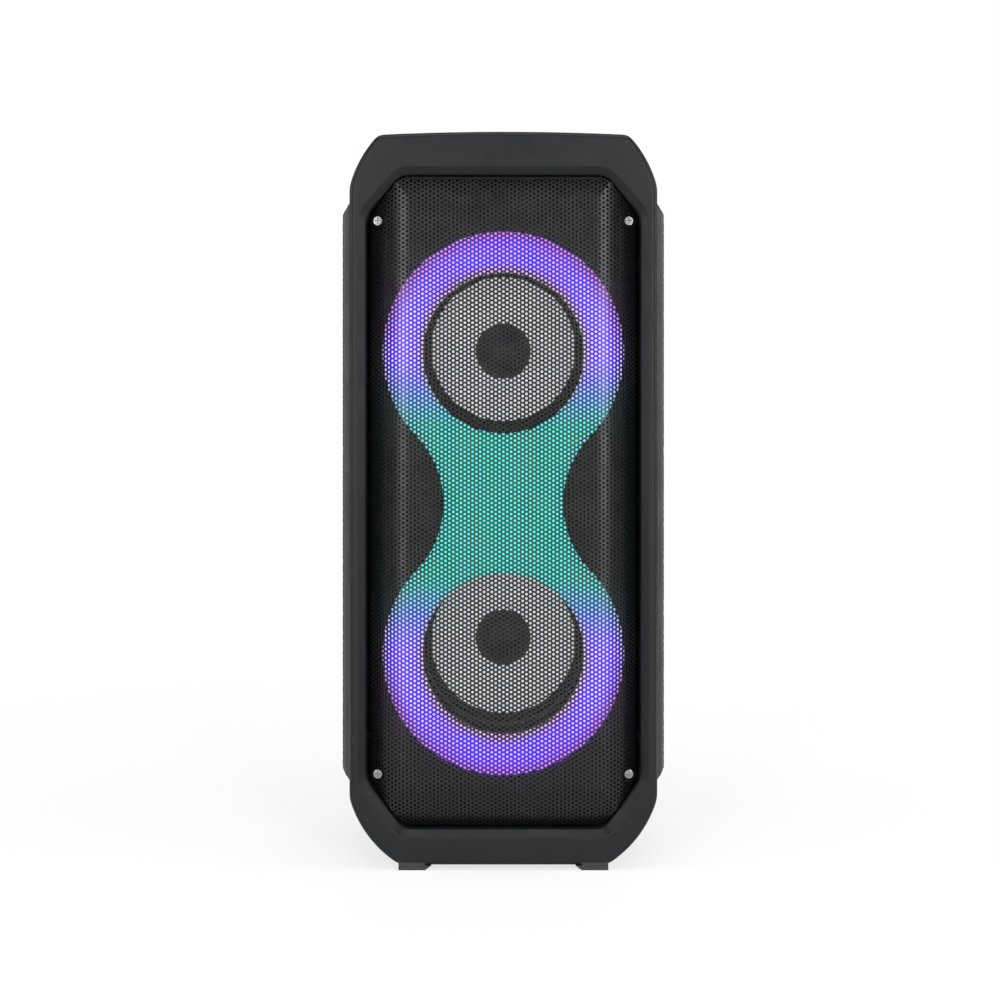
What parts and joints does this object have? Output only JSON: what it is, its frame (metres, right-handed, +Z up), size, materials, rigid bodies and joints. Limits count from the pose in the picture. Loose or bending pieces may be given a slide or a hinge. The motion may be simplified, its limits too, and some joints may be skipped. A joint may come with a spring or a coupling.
{
  "type": "party speaker",
  "caption": "Portable upright party speaker with a figure-of-eight light behind a formed perforated grille, stacked cones, top controls and a rear grip.",
  "frame": {"origin": "on the floor, in the middle of the footprint's bounding box", "axes": "+Z up, -Y out of the grille, +X to the right seen from the front"},
  "size_m": [0.186, 0.165, 0.4212],
  "materials": {
    "shell_plastic": "fine moulded grain",
    "cheek_plastic": "coarse pebbled grain",
    "baffle_plastic": "dull",
    "port_plastic": "dull",
    "screw_steel": "zinc plated",
    "feet_rubber": "dull",
    "grille_paint": "satin powder coat",
    "diffuser": "milky",
    "tray_white": "white reflector",
    "board_white": "white solder mask",
    "led": "lit",
    "panel_gloss": "piano black",
    "board_green": "green solder mask",
    "jack_metal": "nickel plated",
    "sink_aluminium": "extruded",
    "battery_wrap": "shrink wrap",
    "strap_paint": "painted",
    "lead_rubber": "insulation",
    "knob_plastic": "satin",
    "button_rubber": "soft touch",
    "basket_paint": "black e-coat",
    "gasket_rubber": "dull",
    "cone_paper": "pressed pulp",
    "cap_fabric": "doped cloth",
    "spider_cloth": "impregnated cloth",
    "coil_copper": "copper winding",
    "plate_steel": "machined",
    "ferrite": "sintered",
    "terminal_plastic": "phenolic"
  },
  "bodies": {
    "enclosure": {"front_bezel": "shell_plastic", "cabinet": "shell_plastic", "cheek_left": "cheek_plastic", "cheek_right": "cheek_plastic", "baffle": "baffle_plastic", "cabinet_screws": "screw_steel", "bezel_screws": "screw_steel", "feet": "feet_rubber", "port_tube": "port_plastic", "handle_cup": "shell_plastic", "grille": "grille_paint", "grille_screws": "screw_steel", "light_diffuser": "diffuser", "light_tray": "tray_white", "led_board": "board_white", "led_emitters": "led", "control_panel": "panel_gloss", "control_board": "board_green", "volume_encoder": "screw_steel", "io_panel": "panel_gloss", "mic_jack": "jack_metal", "aux_jack": "jack_metal", "usb_port": "jack_metal", "charge_inlet": "jack_metal", "amplifier_board": "board_green", "heat_sink": "sink_aluminium", "battery_pack": "battery_wrap", "battery_strap": "strap_paint", "speaker_leads": "lead_rubber", "upper_basket": "basket_paint", "upper_gasket": "gasket_rubber", "upper_surround": "gasket_rubber", "upper_spider": "spider_cloth", "upper_top_plate": "plate_steel", "upper_magnet": "ferrite", "upper_pole_piece": "plate_steel", "upper_terminal": "terminal_plastic", "upper_driver_screws": "screw_steel", "lower_basket": "basket_paint", "lower_gasket": "gasket_rubber", "lower_surround": "gasket_rubber", "lower_spider": "spider_cloth", "lower_top_plate": "plate_steel", "lower_magnet": "ferrite", "lower_pole_piece": "plate_steel", "lower_terminal": "terminal_plastic", "lower_driver_screws": "screw_steel"},
    "upper_diaphragm": {"upper_cone": "cone_paper", "upper_dust_cap": "cap_fabric", "upper_voice_coil": "coil_copper"},
    "lower_diaphragm": {"lower_cone": "cone_paper", "lower_dust_cap": "cap_fabric", "lower_voice_coil": "coil_copper"},
    "power_button": {"power_button": "button_rubber"},
    "pair_button": {"pair_button": "button_rubber"},
    "play_button": {"play_button": "button_rubber"},
    "light_button": {"light_button": "button_rubber"},
    "mode_button": {"mode_button": "button_rubber"},
    "knob": {"volume_knob": "knob_plastic"}
  },
  "joints": [
    {"name": "upper_diaphragm_travel", "type": "slide", "parent": "enclosure", "child": "upper_diaphragm", "axis": [0, -1, 0], "range_m": [-0.0025, 0.0025], "stiffness_N_per_m": 1500, "deforming": ["upper_surround", "upper_spider"]},
    {"name": "lower_diaphragm_travel", "type": "slide", "parent": "enclosure", "child": "lower_diaphragm", "axis": [0, -1, 0], "range_m": [-0.0025, 0.0025], "stiffness_N_per_m": 1500, "deforming": ["lower_surround", "lower_spider"]},
    {"name": "power_button_press", "type": "slide", "parent": "enclosure", "child": "power_button", "axis": [0, 0, -1], "range_m": [0, 0.0008], "stiffness_N_per_m": 400},
    {"name": "pair_button_press", "type": "slide", "parent": "enclosure", "child": "pair_button", "axis": [0, 0, -1], "range_m": [0, 0.0008], "stiffness_N_per_m": 400},
    {"name": "play_button_press", "type": "slide", "parent": "enclosure", "child": "play_button", "axis": [0, 0, -1], "range_m": [0, 0.0008], "stiffness_N_per_m": 400},
    {"name": "light_button_press", "type": "slide", "parent": "enclosure", "child": "light_button", "axis": [0, 0, -1], "range_m": [0, 0.0008], "stiffness_N_per_m": 400},
    {"name": "mode_button_press", "type": "slide", "parent": "enclosure", "child": "mode_button", "axis": [0, 0, -1], "range_m": [0, 0.0008], "stiffness_N_per_m": 400},
    {"name": "volume_turn", "type": "hinge", "parent": "enclosure", "child": "knob", "pos_m": [0, 0.006, 0.41], "axis": [0, 0, 1], "continuous": true}
  ]
}
